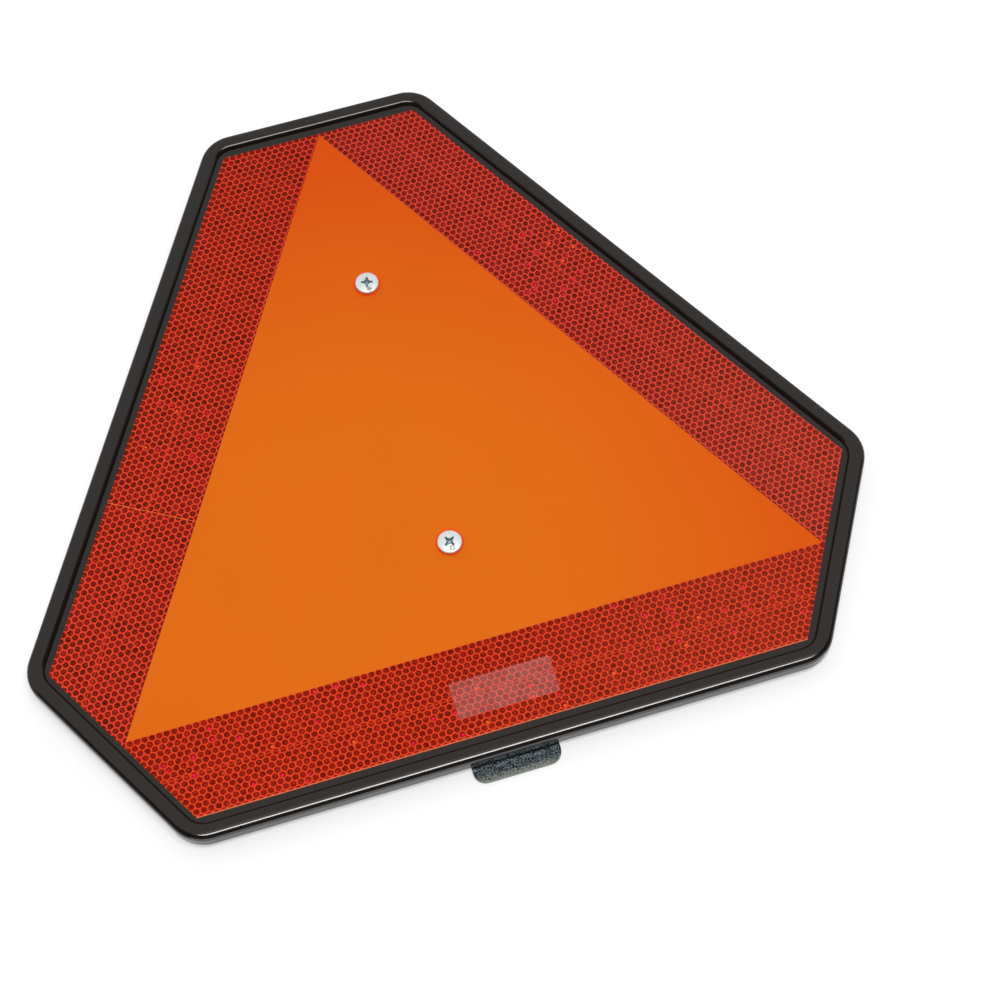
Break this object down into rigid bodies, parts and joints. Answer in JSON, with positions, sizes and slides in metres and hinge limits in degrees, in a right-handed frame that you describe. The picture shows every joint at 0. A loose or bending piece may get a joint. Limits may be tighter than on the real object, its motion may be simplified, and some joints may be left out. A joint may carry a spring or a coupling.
{
  "type": "slow moving vehicle sign",
  "caption": "Slow moving vehicle emblem: orange film triangle with a red reflective border on a rimmed black plastic panel, screwed to a flat steel spade blade for a socket bracket.",
  "frame": {"origin": "middle of the spade blade's tip edge, on the back face that bears on the bracket", "axes": "+X across the face to the right, +Y up the blade to the top of the triangle, +Z out of the face towards the viewer"},
  "size_m": [0.4358, 0.3908, 0.0158],
  "materials": {
    "black_plastic": "satin moulded black",
    "orange_film": "smooth fluorescent orange film",
    "red_film": "retroreflective film with a honeycomb of cells",
    "clear_film": "slightly milky clear film",
    "galvanised_steel": "dark speckled galvanised sheet",
    "zinc_steel": "bright zinc plating"
  },
  "bodies": {
    "root": {"panel": "black_plastic", "orange_triangle": "orange_film", "red_strip_left": "red_film", "red_strip_bottom": "red_film", "red_strip_right": "red_film", "clear_label": "clear_film", "spade_blade": "galvanised_steel", "mounting_screws": "zinc_steel", "lock_washers": "zinc_steel", "hex_nuts": "zinc_steel"}
  },
  "joints": []
}
